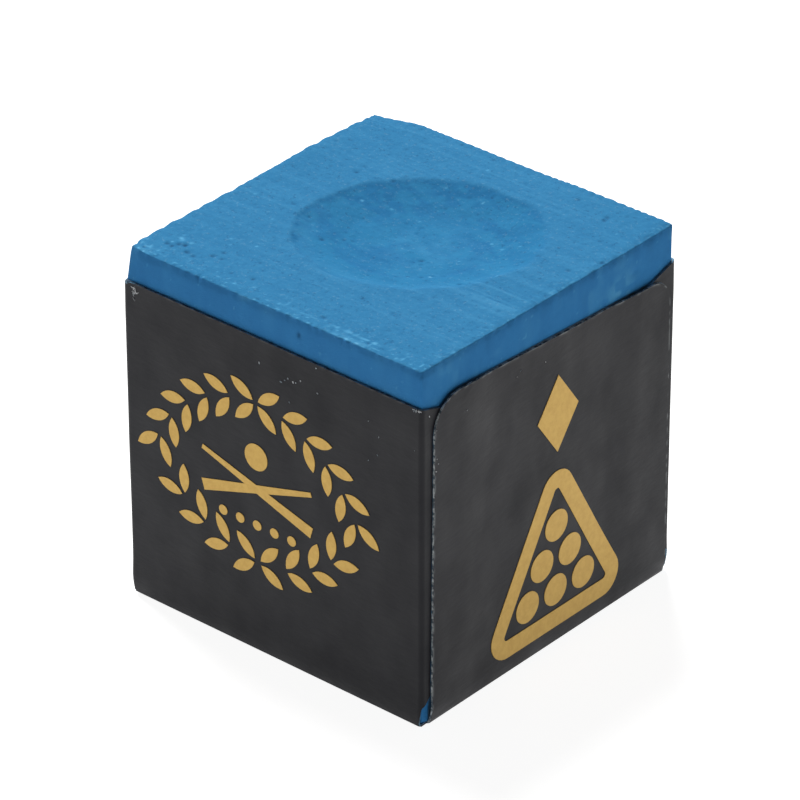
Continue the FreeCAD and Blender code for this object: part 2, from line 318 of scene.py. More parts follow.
def wide_flap(side, top_heights, materials):
    """Flap that wraps round both upright edges, with its ears."""
    tip = FLAT_REACH + TURN_LENGTH + EAR_REACH - UPRIGHT_EDGE_R
    edge = FLAT_REACH + TURN_LENGTH / 2
    near_edge = np.linspace(FLAT_REACH - 0.3, FLAT_REACH + TURN_LENGTH + 0.3, WIDE_EDGE_COLUMNS)
    middle = np.arange(-WIDE_MIDDLE_REACH, WIDE_MIDDLE_REACH + 0.05, WIDE_MIDDLE_PITCH)
    ear = np.linspace(FLAT_REACH + TURN_LENGTH + 0.4, tip, EAR_COLUMNS)
    right_columns = np.concatenate([near_edge, ear])
    columns = np.concatenate([-right_columns[::-1], middle, right_columns])
    reach = np.abs(columns)
    cut_z = EAR_CUT_Z + (tip - edge) * EAR_CUT_SLOPE
    low_lengths = [0, 0, length_up(EAR_CUT_Z), length_up(cut_z)]
    low = np.interp(reach, [0, FLAT_REACH, edge, tip], low_lengths)
    left_top, right_top = top_heights
    top = left_top + (right_top - left_top) * np.clip(columns / HALF / 2 + 0.5, 0, 1)
    top = top - np.maximum(reach - edge, 0) * EAR_TOP_SLOPE
    top = top + ragged(columns, SIDE_SEED[side])
    if side == "front":
        top = top - CORNER_NICK_DROP * bump_at(columns + edge - 0.1, 0.3)
    length = low + ROW_PLACES * (length_up(top) - low)
    s = np.broadcast_to(columns, length.shape)
    return paper_shell(side, s, length, WIDE_EDGE_WEAR, materials)


def narrow_flap(side, top_heights, materials):
    """Trapezoid flap with rounded top corners, laid over the ears."""
    left_low, left_high = NARROW_LEFT_REACH
    right_low, right_high = NARROW_RIGHT_REACH
    ease = np.linspace(0, 1, NARROW_COLUMNS)
    across = ease - NARROW_CROWDING * np.sin(2 * math.pi * ease) / (2 * math.pi)
    width = left_high + right_high
    s_top = across * width - left_high
    left_top, right_top = top_heights
    top = left_top + (right_top - left_top) * across - TOP_SAG * np.sin(math.pi * across)
    top = top - corner_drop(s_top + left_high, NARROW_LEFT_CORNER_R)
    top = top - corner_drop(right_high - s_top, NARROW_RIGHT_CORNER_R)
    top = top + ragged(s_top, SIDE_SEED[side])
    length = ROW_PLACES * length_up(top)
    climb = np.clip(length / length_up(NARROW_HIGH_Z), 0, 1)
    left_edge = -(left_low + (left_high - left_low) * climb)
    right_edge = right_low + (right_high - right_low) * climb
    s = left_edge + (right_edge - left_edge) * across
    return paper_shell(side, s, length, NARROW_EDGE_WEAR, materials)


def corner_drop(from_edge, radius):
    """How far a rounded corner lies below the top, at a distance from the edge."""
    inset = np.clip(radius - from_edge, 0, radius)
    return radius - np.sqrt(radius**2 - inset**2)


def ragged(s, seed):
    """Tiny unevenness of a die-cut edge."""
    return 0.012 * noise(s / 0.35, 0.5, seed + 5) + 0.02 * noise(s / 2.3, 0.5, seed + 6)


# ---- chalk block

CHALK_CELLS = 230                    # cells along each side of the top
BAND_DEPTH = 3.0                     # finely meshed part of the side, below the top
BAND_PITCH = 0.11
BAND_FIRST_DROP = 0.1                # from the rounded edge to the band's first ring
LOWER_RINGS = 6
EDGE_SHARES = (1 / 3, 2 / 3, 1.0)    # rings that round an edge
BARE_DEPTH = CHALK_TOP - FRONT_TOP[0]  # part of the side that the label leaves bare
APART = 40                           # keeps the noise of neighbouring sides apart

DEEP_SAW_MARKS = (8.3, -1.6)         # x, y on the top
PIT_SWARM = (-8.3, -9.2)
BLEMISH = (-9.0, -8.6)
WHITE_CRUMB = (3.67, -1.64)
BRIGHT_PATCH = (1.2, 0.9)
FRONT_PIT = (2.05, 22.1)             # x, z on the front band
RIGHT_GOUGE = (7.6, 21.4)            # y, z on the right band
RIGHT_SCUFF = (6.3, 20.8)
STAINS = ((-1.0, -2.0), (3.0, 2.0))  # from the hollow's centre

CORNER_LEAN = 0.2                    # the front left upright edge leans in by this
GROUND_OFF = 0.62                    # taken off the back left top corner
HEEL_WEAR = 0.16                     # taken off the front right bottom corner
NICK_DEPTH = 0.08                    # in the front right top corner
BACK_RISE = 0.10                     # the top is higher by this along its back edge
LEFT_RISE = 0.13
LEFT_RISE_Y = 4.4


def rounded_square(x, y, half, radius):
    """Square grid points moved so that the square's corners are round."""
    over_x = np.maximum(np.abs(x) - (half - radius), 0)
    over_y = np.maximum(np.abs(y) - (half - radius), 0)
    size = np.hypot(over_x, over_y)
    scale = np.where(size > 0, np.maximum(over_x, over_y) / np.where(size > 0, size, 1), 1)
    x_new = np.sign(x) * (np.minimum(np.abs(x), half - radius) + over_x * scale)
    y_new = np.sign(y) * (np.minimum(np.abs(y), half - radius) + over_y * scale)
    return x_new, y_new


def dimple_reach(x, y):
    """Distance from the tip hollow's centre, with its oval and uneven rim."""
    from_x = x - DIMPLE_CENTRE[0]
    from_y = y - DIMPLE_CENTRE[1]
    along = from_x * math.cos(DIMPLE_TURN) + from_y * math.sin(DIMPLE_TURN)
    across = from_y * math.cos(DIMPLE_TURN) - from_x * math.sin(DIMPLE_TURN)
    away = np.hypot(along / DIMPLE_STRETCH[0], across / DIMPLE_STRETCH[1])
    return away + 0.16 * noise(x / 1.9, y / 1.9, 301) + 0.05 * noise(x / 0.6, y / 0.6, 302)


def dimple_depth(x, y):
    """Depth of the tip hollow: a round bowl with a faint cup in its middle."""
    inside = DIMPLE_R - dimple_reach(x, y)
    inside = (inside + np.sqrt(inside**2 + BOWL_RIM_SOFTNESS**2)) / 2
    bowl = BOWL_DEPTH * (1 - np.exp(-inside / BOWL_WALL))
    dents = 0.03 * noise(x / 1.3, y / 1.1, 303) * smooth_step(0.0, 2.0, inside)
    return bowl + dents + CUP_DEPTH * smooth_step(2.0, 2.8, inside)


def pressed_and_shade_share(x, y):
    """Darker pressed chalk in patches and stains, with painted shade on the hollow's far wall and
    along its rim, and a faint dark ring round its cup on the near side.
    """
    away = dimple_reach(x, y)
    from_x = x - DIMPLE_CENTRE[0]
    from_y = y - DIMPLE_CENTRE[1]
    far = smooth_step(-0.35, 0.7, (from_y * 0.6 - from_x * 0.8) / DIMPLE_R)
    inside = smooth_step(0.0, 0.3, DIMPLE_R - away)
    patches = 0.4 + 1.1 * noise(x / 1.5, y / 1.0, 311) + 1.0 * noise(x / 0.5, y / 0.35, 312)
    patches = np.clip(patches, 0, 1)
    # painted shade on the far wall of the hollow, broken up by patches
    wall = smooth_step(2.6, 5.0, away) * far * (0.15 + 0.85 * patches)
    broken = smooth_step(-0.4, 0.4, noise(x / 1.2, y / 1.2, 313))
    # painted shade along the rim, strongest on the far side
    rim = bump_at(away - DIMPLE_R + 0.12, 0.2) * (0.35 + 0.45 * far)
    cup = 0.6 * bump_at(away - CUP_R, 0.3) * broken * (1 - far)
    stains = sum(bump_at(away_from(stain, from_x, from_y), 2.0) for stain in STAINS)
    return inside * np.clip(0.3 * patches + wall + rim + cup + 0.7 * stains * patches, 0, 1)


def hollow_share(x, y):
    """1 inside the tip hollow, where the loose powder has been rubbed off."""
    return smooth_step(0.0, 0.5, DIMPLE_R - dimple_reach(x, y))


def spots(x, y, count, seed, reach, strength, centre=(0.0, 0.0), spread=None):
    """Sum of small round spots scattered over the top."""
    random = np.random.default_rng(seed)
    total = np.zeros_like(x)
    for _ in range(count):
        if spread is None:
            at = random.uniform(-HALF, HALF, 2)
        else:
            at = np.array(centre) + random.normal(0, spread, 2)
        size = random.uniform(*reach)
        total += random.uniform(*strength) * bump_at(away_from(at, x, y), size)
    return total


def top_pits(x, y):
    """Depth of the pin holes, which crowd near the front left corner."""
    pits = spots(x, y, 170, 405, (0.06, 0.11), (0.01, 0.03))
    pits += spots(x, y, 26, 406, (0.08, 0.14), (0.04, 0.07))
    pits += spots(x, y, 12, 407, (0.08, 0.16), (0.03, 0.06), PIT_SWARM, 1.3)
    return pits


def saw_lines(x, y):
    """Fine saw marks along X, deeper near the right edge and faint inside the tip hollow."""
    calm = 1 - 0.75 * smooth_step(DIMPLE_R, DIMPLE_R - 1.2, dimple_reach(x, y))
    calm = calm * (1 + 1.8 * bump_at(away_from(DEEP_SAW_MARKS, x, y), 2.6))
    return calm * (0.4 * noise(x / 9.0, y / 0.33, 401) + 0.5 * noise(x / 5.0, y / 0.17, 402))


def top_relief(x, y):
    """Height of the sawn top over its flat."""
    grain = 0.010 * noise(x / 0.3, y / 0.3, 411) + 0.008 * noise(x / 0.17, y / 0.17, 412)
    swells = 0.012 * noise(x / 2.7, y / 2.2, 413)
    return 0.010 * saw_lines(x, y) + grain + swells - top_pits(x, y) - dimple_depth(x, y)


def top_dust_and_shading(x, y):
    """Pale dust and painted highlights where positive, painted shade in pits and saw grooves where
    negative.
    """
    pale = spots(x, y, 26, 421, (0.05, 0.08), (0.2, 0.7))
    pale += spots(x, y, 6, 422, (0.09, 0.16), (0.15, 0.35), BLEMISH, 0.35)
    pale += 1.6 * bump_at(away_from(WHITE_CRUMB, x, y), 0.1)
    from_front = y + HALF
    from_right = HALF - x
    scuff = smooth_step(-0.1, 0.8, noise(x / 1.6, 0.5, 423))
    scuff = scuff * (0.6 + 0.8 * noise(x / 0.22, y / 0.22, 424))
    # chalk dust and a painted highlight along the front and right top edges
    edge_dust_and_highlight = 0.45 * bump_at(from_front - 0.8, 0.10) * scuff
    edge_dust_and_highlight += 0.4 * bump_at(from_front - 0.1, 0.3) * scuff
    crumbs = smooth_step(0.35, 0.95, noise(x / 0.2, y / 0.2, 425))
    edge_dust_and_highlight += 0.45 * crumbs * (bump_at(from_front, 1.4) + 0.6 * bump_at(from_right, 0.7))
    # paler patch over the hollow's middle
    patch_and_near_wall_light = 0.05 * bump_at(away_from(BRIGHT_PATCH, x, y), 3.2) * (1 + noise(x / 0.7, y / 0.5, 427))
    # painted light on the near wall of the hollow
    patch_and_near_wall_light += 0.06 * bump_at(dimple_reach(x, y) - 6.3, 0.7) * smooth_step(3.0, -4.0, y)
    bruise = -0.35 * smooth_step(0.1, 0.9, noise(x / 0.7, y / 0.5, 426)) * bump_at(from_right, 0.4)
    # saw lines paler on their ridges with painted shade in their grooves; painted shade in the pin
    # holes
    return pale + edge_dust_and_highlight + patch_and_near_wall_light + bruise + 0.08 * saw_lines(x, y) - 15.0 * top_pits(x, y)


def chatter(place, pitch, seed):
    """Scallops left by the saw, from 0 at their crests to 1 between them."""
    scallops = 1 - np.abs(np.sin(math.pi * place / pitch + 2.2 * noise(place / 1.9, 0.5, seed)))
    return scallops * (0.6 + 0.4 * noise(place / 1.7, 0.5, seed + 40))


def edge_wear(x, y):
    """How far the top edge is worn in: coarse scallops at -X, finer at +Y."""
    left = 0.01 + 0.09 * chatter(y, 1.3, 501) + 0.03 * (1 + noise(y / 0.3, 0.5, 502))
    back = 0.07 * chatter(x, 0.62, 503) - 0.01 * (1 + noise(x / 1.3, 0.5, 504))
    front = 0.06 * (1 + noise(x / 0.26, 0.5, 505)) + 0.02 * (1 + noise(x / 1.9, 0.5, 506))
    right = 0.06 * (1 + noise(y / 0.3, 0.5, 507)) + 0.02 * (1 + noise(y / 2.1, 0.5, 508))
    along_x = np.abs(x) > np.abs(y)
    return np.where(along_x, np.where(x < 0, left, right), np.where(y < 0, front, back))


def worn(points):
    """Wears the block's top edges and three of its corners."""
    x, y, z = points.T
    depth = CHALK_TOP - z
    from_side = HALF - np.maximum(np.abs(x), np.abs(y))
    nearness = bump_at(np.maximum(depth, 0) + np.maximum(from_side, 0), 0.3)
    wear = edge_wear(x, y) * nearness
    along_x = np.abs(x) > np.abs(y)
    bare_share = np.clip(1 - depth / BARE_DEPTH, 0, 1)
    lean = CORNER_LEAN * bare_share * bump_at(np.hypot(x + HALF, y + HALF), 0.8)
    heel = HEEL_WEAR * bump_at(np.hypot(x - HALF, y + HALF), 0.5) * bump_at(z, 0.6)
    rise = BACK_RISE * smooth_step(1.0, 5.0, x) * smooth_step(11.2, 10.2, x)
    rise *= bump_at(HALF - y, 1.6)
    rise += LEFT_RISE * bump_at(y - LEFT_RISE_Y, 3.0) * bump_at(x + HALF, 1.6)
    nick = NICK_DEPTH * bump_at(np.hypot(x - HALF, y + HALF), 0.16) * bump_at(depth - 0.1, 0.2)
    ground = smooth_step(3.6, 0.0, x + HALF) * bump_at(depth + np.abs(HALF - y), 1.3)
    x_new = x - np.sign(x) * wear * along_x + lean - nick - heel
    y_new = y - np.sign(y) * wear * ~along_x + lean + nick + heel - GROUND_OFF * ground
    z_new = z - 0.5 * wear - 0.12 * ground + rise * bump_at(depth, 0.8)
    return np.stack([x_new, y_new, z_new], axis=-1)


def around_block(x, y):
    """Place along a side: y on the left and right, x + APART on the front and back."""
    return np.where(np.abs(x) > np.abs(y), y, x + APART)


def side_relief(x, y, z):
    """Inward unevenness of the pressed sides, drawn out up and down."""
    around = around_block(x, y)
    ridges = 0.004 * (1 + noise(around / 0.5, z / 2.6, 601))
    dents = 0.007 * (1 + noise(around / 1.6, z / 1.1, 602))
    pit = 0.07 * blot(FRONT_PIT, around - APART, z, (0.09, 0.16))
    gouge = 0.05 * blot(RIGHT_GOUGE, around, z, (0.5, 0.3))
    return ridges + dents + pit + gouge


def side_dust_and_shading(x, y, z):
    """Dust drawn down the bare band, a few scuffs on the right side, chalk dust with a painted
    highlight along the top edge, and painted shade in the front pit.
    """
    around = around_block(x, y)
    drawn = 0.04 * noise(around / 0.45, z / 2.5, 611) + 0.05 * noise(around / 1.9, z / 1.3, 612)
    on_right = x > HALF - 0.5
    scuffs = 0.10 * smooth_step(0.2, 0.9, noise(around / 0.9, z / 0.8, 613)) * on_right
    torn = smooth_step(-0.3, 0.3, noise(around / 0.5, z / 0.35, 616))
    scuffs += 0.32 * torn * blot(RIGHT_SCUFF, around, z, (1.2, 0.9)) * on_right
    crumbs = 0.25 * smooth_step(0.84, 0.99, noise(around / 0.14, z / 0.14, 614))
    # chalk dust and a painted highlight along the top edge
    edge_dust_and_highlight = 0.35 * bump_at(CHALK_TOP - z, 0.25) * smooth_step(0.1, 0.7, noise(around / 1.9, 0.5, 615))
    # painted shade in the pit on the front band
    pit = -0.9 * blot(FRONT_PIT, around - APART, z, (0.12, 0.2))
    grimy = -0.10 * smooth_step(0.2, 0.9, noise(around / 0.6, z / 0.9, 617)) * on_right
    return drawn + scuffs + grimy + crumbs + edge_dust_and_highlight + pit


def block_rings():
    """(inset, height, relief share) of each ring from the top edge down."""
    rings = []
    for share in EDGE_SHARES:
        angle = share * math.pi / 2
        inset = TOP_EDGE_R * (1 - math.sin(angle))
        rings.append((inset, CHALK_TOP - TOP_EDGE_R * (1 - math.cos(angle)), share))
    band_top = CHALK_TOP - TOP_EDGE_R - BAND_FIRST_DROP
    band = np.arange(band_top, CHALK_TOP - BAND_DEPTH, -BAND_PITCH)
    lower = np.linspace(CHALK_TOP - BAND_DEPTH - 1, FOLD_Z, LOWER_RINGS)
    rings += [(0.0, height, 1.0) for height in np.concatenate([band, lower])]
    for share in EDGE_SHARES:
        angle = share * math.pi / 2
        inset = BASE_EDGE_R * (1 - math.cos(angle))
        rings.append((inset, FOLD_Z - BASE_EDGE_R * math.sin(angle), 0.0))
    return rings


def chalk_block(material):
    """Pressed block: one fine grid for the top and rings for its sides."""
    line = np.linspace(-1, 1, CHALK_CELLS + 1)
    grid_x, grid_y = np.meshgrid(line, line)
    inner = HALF - TOP_EDGE_R
    x, y = rounded_square(grid_x * inner, grid_y * inner, inner, UPRIGHT_EDGE_R - TOP_EDGE_R)
    x, y = x.ravel(), y.ravel()
    side = CHALK_CELLS + 1
    loop = rim_loop(side, side)
    faces = [grid_faces(side, side)]
    top = worn(np.stack([x, y, np.full_like(x, CHALK_TOP)], axis=-1))
    top[:, 2] += top_relief(x, y)
    points = [top]
    values = {
        # dust, painted highlights and painted shade on the top
        "dust": [top_dust_and_shading(x, y)],
        # pressed chalk, and painted shade on the hollow's far wall and rim
        "pressed": [pressed_and_shade_share(x, y)],
        "hollow": [hollow_share(x, y)],
    }
    rim_x = (grid_x * HALF).ravel()[loop]
    rim_y = (grid_y * HALF).ravel()[loop]
    count = len(top)
    for inset, height, share in block_rings():
        half = HALF - inset
        scale = half / HALF
        x, y = rounded_square(rim_x * scale, rim_y * scale, half, UPRIGHT_EDGE_R - inset)
        shrink = 1 - share * side_relief(x, y, height) / HALF
        ring = np.stack([x * shrink, y * shrink, np.full_like(x, height)], axis=-1)
        points.append(worn(ring))
        values["dust"].append(side_dust_and_shading(x, y, np.full_like(x, height)))
        values["pressed"].append(np.zeros_like(x))
        values["hollow"].append(np.zeros_like(x))
        next_loop = count + np.arange(len(ring))
        faces.append(strip_faces(loop, next_loop)[:, ::-1])
        loop = next_loop
        count += len(ring)
    quads = np.concatenate(faces).tolist()
    quads.append(loop[::-1].tolist())
    points = np.concatenate(points)
    values = {name: np.concatenate(parts) for name, parts in values.items()}
    piece = new_piece("pressed_chalk_block", points, quads, [material], values=values)
    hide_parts("chalk_block")
    return piece


# ---- gold ornaments

SPRAY_CENTRE_S = -1.1
SPRAY_R = 8.0
# centre height, sweep in degrees and leaf pairs of each spray
SPRAYS = ((8.6, (17.0, 163.0), 12), (14.2, (220.0, 320.0), 8))
LEAF_LENGTH = 1.9
LEAF_WIDTH = 0.75
LEAF_TILT = 38.0
LEAF_OFFSET = 0.72
LEAF_POINTS = 10                     # along each of a leaf's two arcs
CUE_LENGTH = 8.6
CUE_BUTT_WIDTH = 0.75
CUE_TIP_WIDTH = 0.3
CUE_TILT = 17.0                      # degrees
CUES_Z = 11.0
CUE_BALL_R = 0.85
CUE_BALL_RISE = 2.1
BEAD_COUNT = 5
BEAD_R = 0.32
BEAD_PITCH = 1.3
BEAD_DROP = 2.4
RACK_CENTRE_S = 0.6
RACK_BASE_Z = 1.2
RACK_WIDTH = 13.4
RACK_HEIGHT = 11.9
RACK_BAND = 1.15
RACK_CORNER_R = 1.4
RACK_BALL_R = 1.0
RACK_BALL_PITCH = 2.5
RACK_BALL_GAP = 0.35
RACK_ROWS = 3
DIAMOND_WIDTH = 3.6
DIAMOND_HEIGHT = 5.0
DIAMOND_BASE_Z = 12.9
DISC_POINTS = 40
CORNER_POINTS = 12
FOIL_CUT_PITCH = 0.9


def disc_outline(s, z, radius):
    angles = np.linspace(0, 2 * math.pi, DISC_POINTS, endpoint=False)
    return [(s + radius * math.cos(a), z + radius * math.sin(a)) for a in angles]


def leaf_outline(s, z, direction):
    """Pointed leaf: two shallow arcs between its tips."""
    half = LEAF_LENGTH / 2
    bend_r = (half**2 + (LEAF_WIDTH / 2) ** 2) / LEAF_WIDTH
    points = []
    for hand in (1, -1):
        for along in np.linspace(-half, half, LEAF_POINTS)[:-1] * hand:
            across = math.sqrt(bend_r**2 - along**2) - (bend_r - LEAF_WIDTH / 2)
            points.append((along, -hand * across))
    cos, sin = math.cos(direction), math.sin(direction)
    return [(s + a * cos - b * sin, z + a * sin + b * cos) for a, b in points]


def spray_outlines(centre_z, sweep, stations):
    """Leaves in pairs along an arc, opening away from the arc's middle."""
    outlines = []
    first, last = [math.radians(angle) for angle in sweep]
    for angle in np.linspace(first, last, stations):
        hand = 1 if angle > (first + last) / 2 else -1
        for side in (-1, 1):
            radius = SPRAY_R + side * LEAF_OFFSET
            s = SPRAY_CENTRE_S + radius * math.cos(angle)
            z = centre_z + radius * math.sin(angle)
            tilt = -hand * side * math.radians(LEAF_TILT)
            outlines.append(leaf_outline(s, z, angle + hand * math.pi / 2 + tilt))
    return outlines


def cue_outline(tilt):
    """Tapered cue through the ornament's middle, with tilt in degrees."""
    cos, sin = math.cos(math.radians(tilt)), math.sin(math.radians(tilt))
    half, butt, tip = CUE_LENGTH / 2, CUE_BUTT_WIDTH / 2, CUE_TIP_WIDTH / 2
    corners = [(-half, -butt), (half, -tip), (half, tip), (-half, butt)]
    return [(SPRAY_CENTRE_S + a * cos - b * sin, CUES_Z + a * sin + b * cos) for a, b in corners]


def meeting(a, b, c, d):
    """Where the line through a and b crosses the line through c and d."""
    a, b, c, d = (np.array(point) for point in (a, b, c, d))
    along, other, gap = b - a, d - c, c - a
    share = (gap[0] * other[1] - gap[1] * other[0]) / (along[0] * other[1] - along[1] * other[0])
    return tuple(a + share * along)


def crossed_cues():
    """Two cues that cross, as their four arms and the diamond between them."""
    a = cue_outline(CUE_TILT)
    b = cue_outline(180 - CUE_TILT)
    below = meeting(a[0], a[1], b[3], b[2])
    right = meeting(a[0], a[1], b[0], b[1])
    above = meeting(a[3], a[2], b[0], b[1])
    left = meeting(a[3], a[2], b[3], b[2])
    return [
        [a[0], below, left, a[3]],
        [b[3], b[0], right, below],
        [right, a[1], a[2], above],
        [above, b[1], b[2], left],
        [below, right, above, left],
    ]


def rack_outline(inset, radius):
    """Triangle moved in by inset, with corners rounded by radius."""
    half = RACK_WIDTH / 2
    lean = math.atan2(RACK_HEIGHT, half)
    inner_half = half - inset / math.tan(lean / 2)
    base = RACK_BASE_Z + inset
    foot = inner_half - radius / math.tan(lean / 2)
    peak = base + inner_half * math.tan(lean) - radius / math.cos(lean)
    centres = [(foot, base + radius), (0.0, peak), (-foot, base + radius)]
    arcs = [(-math.pi / 2, math.pi / 2 - lean), (math.pi / 2 - lean, math.pi / 2 + lean)]
    arcs.append((math.pi / 2 + lean, math.pi * 3 / 2))
    points = []
    for (s, z), (start, end) in zip(centres, arcs):
        for angle in np.linspace(start, end, CORNER_POINTS):
            across = RACK_CENTRE_S + s + radius * math.cos(angle)
            points.append((across, z + radius * math.sin(angle)))
    return points


def cues_and_leaves():
    """Outlines of the wide flaps' ornament, with no holes."""
    outlines = crossed_cues()
    outlines.append(disc_outline(SPRAY_CENTRE_S, CUES_Z + CUE_BALL_RISE, CUE_BALL_R))
    for index in range(BEAD_COUNT):
        s = SPRAY_CENTRE_S + (index - (BEAD_COUNT - 1) / 2) * BEAD_PITCH
        outlines.append(disc_outline(s, CUES_Z - BEAD_DROP, BEAD_R))
    for spray in SPRAYS:
        outlines += spray_outlines(*spray)
    return [(outline, None) for outline in outlines]


def rack_and_diamond():
    """Outlines of the narrow flaps' ornament: the rack has a hole."""
    outer = rack_outline(0.0, RACK_CORNER_R)
    inner = rack_outline(RACK_BAND, RACK_CORNER_R - RACK_BAND)
    shapes = [(outer, inner)]
    first_z = RACK_BASE_Z + RACK_BAND + RACK_BALL_GAP + RACK_BALL_R
    for row in range(RACK_ROWS):
        count = RACK_ROWS - row
        z = first_z + row * RACK_BALL_PITCH * math.sin(math.radians(60))
        for index in range(count):
            s = RACK_CENTRE_S + (index - (count - 1) / 2) * RACK_BALL_PITCH
            shapes.append((disc_outline(s, z, RACK_BALL_R), None))
    half, middle = DIAMOND_WIDTH / 2, DIAMOND_BASE_Z + DIAMOND_HEIGHT / 2
    diamond = [
        (RACK_CENTRE_S - half, middle),
        (RACK_CENTRE_S, DIAMOND_BASE_Z),
        (RACK_CENTRE_S + half, middle),
        (RACK_CENTRE_S, DIAMOND_BASE_Z + DIAMOND_HEIGHT),
    ]
    shapes.append((diamond, None))
    return shapes


def add_flat_shape(sheet, outline, hole):
    """Fills one outline, less its hole, in the sheet's s-z plane."""
    rim = [sheet.verts.new((s, 0, z)) for s, z in outline]
    if hole is None:
        sheet.faces.new(rim)
        return
    inner = [sheet.verts.new((s, 0, z)) for s, z in hole]
    for index in range(len(rim)):
        after = (index + 1) % len(rim)
        sheet.faces.new([rim[index], rim[after], inner[after], inner[index]])


def cut_by_grid(sheet, pitch):
    """Cuts the sheet along lines pitch apart so that it can follow the paper."""
    for axis in ((1, 0, 0), (0, 0, 1)):
        for place in np.arange(-HALF, CHALK_TOP, pitch):
            everything = sheet.verts[:] + sheet.edges[:] + sheet.faces[:]
            point = Vector(axis) * place
            bmesh.ops.bisect_plane(sheet, geom=everything, plane_co=point, plane_no=axis)


def gold_ornament(side, shapes, material):
    """Foil that follows the paper below it."""
    sheet = bmesh.new()
    for outline, hole in shapes:
        add_flat_shape(sheet, outline, hole)
    cut_by_grid(sheet, FOIL_CUT_PITCH)
    bmesh.ops.remove_doubles(sheet, verts=sheet.verts[:], dist=0.001)
    bmesh.ops.triangulate(sheet, faces=sheet.faces[:])
    sheet.normal_update()
    bmesh.ops.reverse_faces(sheet, faces=[face for face in sheet.faces if face.normal.y > 0])
    sheet.verts.index_update()
    flat, triangles = points_and_faces(sheet)
    rims = [edge for edge in sheet.edges if edge.is_boundary]
    rim_pairs = np.array([[loop.vert.index, loop.link_loop_next.vert.index]
                          for edge in rims for loop in edge.link_loops])
    sheet.free()
    s, z = flat[:, 0], flat[:, 2]
    lift = label_lift(side, s, z)
    length = length_up(z)
    outer = on_side(s, length, lift + FOIL)
    inner = on_side(s, length, lift - FOIL / 3)
    count = len(flat)
    near, far = rim_pairs.T
    walls = np.stack([far, near, near + count, far + count], axis=-1)
    faces = triangles.tolist() + (triangles[:, ::-1] + count).tolist() + walls.tolist()
    points = turned(np.concatenate([outer, inner]), SIDE_TURN[side])
    piece = new_piece("gold_" + side, points, faces, [material])
    piece.data.polygons.foreach_set("use_smooth", [False] * len(piece.data.polygons))
    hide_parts("gold_print_" + side)
    return piece


# ---- materials


class Shader:
    """A small helper that adds and joins the nodes of one material."""

    def __init__(self, name):
        self.material = bpy.data.materials.new(name)
        self.material.use_nodes = True
        self.tree = self.material.node_tree
        self.surface = self.tree.nodes["Principled BSDF"]
        coordinates = self.tree.nodes.new("ShaderNodeTexCoord")
        self.object_space = coordinates.outputs["Object"]
        self.object_normal = coordinates.outputs["Normal"]

    def add(self, kind, **settings):
        node = self.tree.nodes.new("ShaderNode" + kind)
        for name, value in settings.items():
            setattr(node, name, value)
        return node

    def join(self, source, target):
        self.tree.links.new(source, target)

    def facing_up(self):
        """How far the surface faces up, from -1 to 1."""
        parts = self.add("SeparateXYZ")
        self.join(self.object_normal, parts.inputs["Vector"])
        return parts.outputs["Z"]

    def attribute(self, name):
        """A value stored at the mesh's points."""
        return self.add("Attribute", attribute_name=name).outputs["Fac"]

    def place(self, scale):
        """Object position in millimetres, multiplied along each axis."""
        mapping = self.add("Mapping")
        mapping.inputs["Scale"].default_value = [factor / MM for factor in scale]
        self.join(self.object_space, mapping.inputs["Vector"])
        return mapping.outputs["Vector"]

    def noise(self, scale, detail=2.0, roughness=0.5):
        texture = self.add("TexNoise")
        texture.inputs["Scale"].default_value = 1.0
        texture.inputs["Detail"].default_value = detail
        texture.inputs["Roughness"].default_value = roughness
        self.join(self.place(scale), texture.inputs["Vector"])
        return texture.outputs["Fac"]

    def ramp(self, value, low, high, start=0.0, end=1.0):
        """Maps value from low..high to start..end and keeps it there."""
        stretch = self.add("MapRange")
        stretch.inputs["From Min"].default_value = low
        stretch.inputs["From Max"].default_value = high
        stretch.inputs["To Min"].default_value = start
        stretch.inputs["To Max"].default_value = end
        self.join(value, stretch.inputs["Value"])
        return stretch.outputs["Result"]

    def scaled(self, value, share):
        node = self.add("Math", operation="MULTIPLY")
        self.join(value, node.inputs[0])
        node.inputs[1].default_value = share
        return node.outputs["Value"]

    def mix(self, amount, first, second, share=1.0):
        """Colour mix by a share of amount; a colour is a node's output or three numbers."""
        if share < 1:
            amount = self.scaled(amount, share)
        node = self.add("Mix", data_type="RGBA")
        self.join(amount, node.inputs[0])
        for socket, colour in ((node.inputs[6], first), (node.inputs[7], second)):
            if isinstance(colour, tuple):
                socket.default_value = (*colour, 1.0)
            else:
                self.join(colour, socket)
        return node.outputs[2]

    def paint(self, colour):
        self.join(colour, self.surface.inputs["Base Color"])

    def bump(self, height, distance, strength=1.0):
        """Adds fine relief, with distance in millimetres."""
        node = self.add("Bump")
        node.inputs["Strength"].default_value = strength
        node.inputs["Distance"].default_value = distance * MM
        self.join(height, node.inputs["Height"])
        self.join(node.outputs["Normal"], self.surface.inputs["Normal"])

    def set(self, **values):
        """Constant values, set on the surface's own sockets."""
        for name, value in values.items():
            self.surface.inputs[name.replace("_", " ")].default_value = value


# Top colours are greyed for chalk dust and a painted sheen; side colours are lighter and bluer, as
# painted light on the sides.
TOP_BLUE_PAINTED_SHEEN = (0.033, 0.186, 0.362)
TOP_DEEP_PAINTED_SHEEN = (0.020, 0.142, 0.305)
SIDE_BLUE_PAINTED_LIGHT = (0.035, 0.200, 0.450)
SIDE_DEEP_PAINTED_LIGHT = (0.026, 0.158, 0.385)
# colour of pressed chalk, and of painted shade in the hollow
PRESSED_AND_SHADE_BLUE = (0.0170, 0.138, 0.305)
HOLLOW_BLUE = (0.0185, 0.165, 0.335)
# colour of chalk dust, and of painted highlights on the top edges and the hollow's near wall
POWDER_AND_HIGHLIGHT_BLUE = (0.085, 0.32, 0.54)
CHALK_SPECK = (0.36, 0.50, 0.56)
# colour of painted shade inside pits, pores and saw grooves
PIT_SHADE_BLUE = (0.012, 0.062, 0.150)


